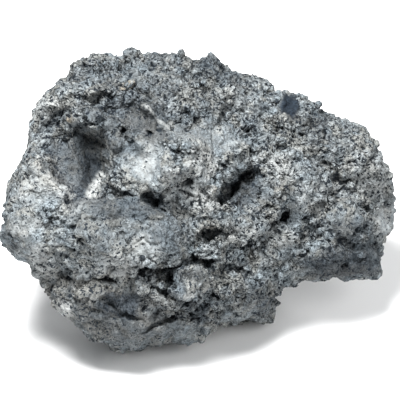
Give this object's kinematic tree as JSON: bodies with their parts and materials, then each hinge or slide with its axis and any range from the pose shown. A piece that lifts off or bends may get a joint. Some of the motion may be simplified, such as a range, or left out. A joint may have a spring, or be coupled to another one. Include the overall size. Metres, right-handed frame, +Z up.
{
  "type": "lava rock",
  "caption": "Rough, bubbly lump of grey basalt lava with ledges, hollows and pits, resting on worn flats on its underside.",
  "frame": {"origin": "under the middle of the stone's box, on the surface it rests on", "axes": "+Z up, +X along the stone's length to the right of its best side, which faces -Y and a little up"},
  "size_m": [0.2364, 0.1926, 0.1734],
  "materials": {
    "basalt": "rough matt"
  },
  "bodies": {
    "root": {"lava_rock": "basalt"}
  },
  "joints": []
}
